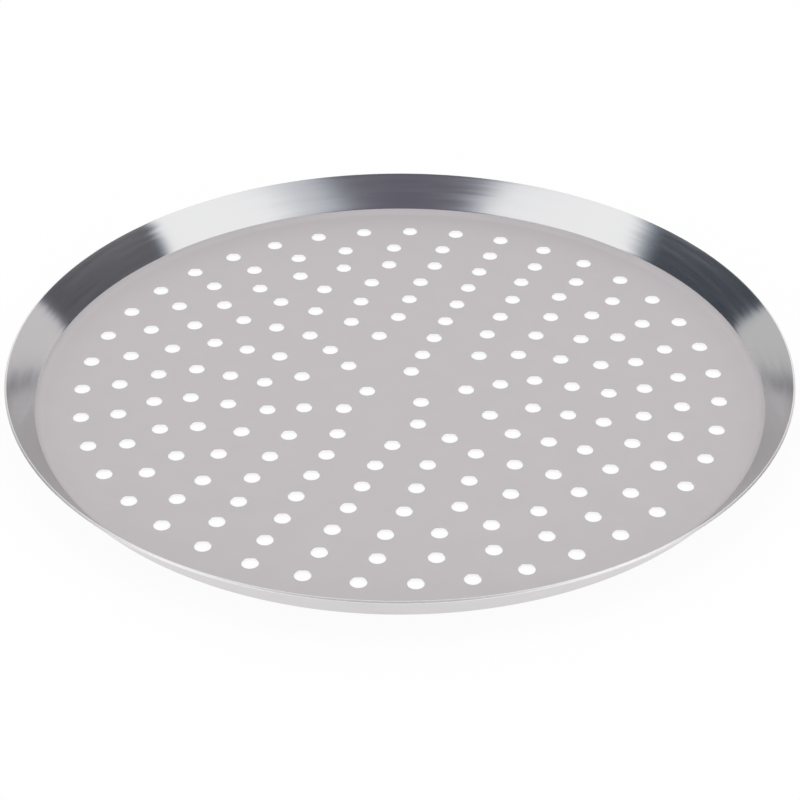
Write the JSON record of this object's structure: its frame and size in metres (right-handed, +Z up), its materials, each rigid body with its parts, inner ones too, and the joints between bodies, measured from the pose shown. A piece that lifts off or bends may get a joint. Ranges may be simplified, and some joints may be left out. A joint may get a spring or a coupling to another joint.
{
  "type": "pizza pan",
  "caption": "Round perforated pizza pan of sheet aluminium, with a flat floor and a short flared wall, for baking a crisp base.",
  "frame": {"origin": "centre of the floor's underside, where the pan stands on a surface", "axes": "+Z up along the pan's axis; every ring of holes has one hole on a line 69.5 degrees from +X"},
  "size_m": [0.3047, 0.3048, 0.015],
  "materials": {
    "sheet_aluminium": "bare aluminium: satin floor, bright circumferentially brushed wall"
  },
  "bodies": {
    "root": {"pan": "sheet_aluminium"}
  },
  "joints": []
}
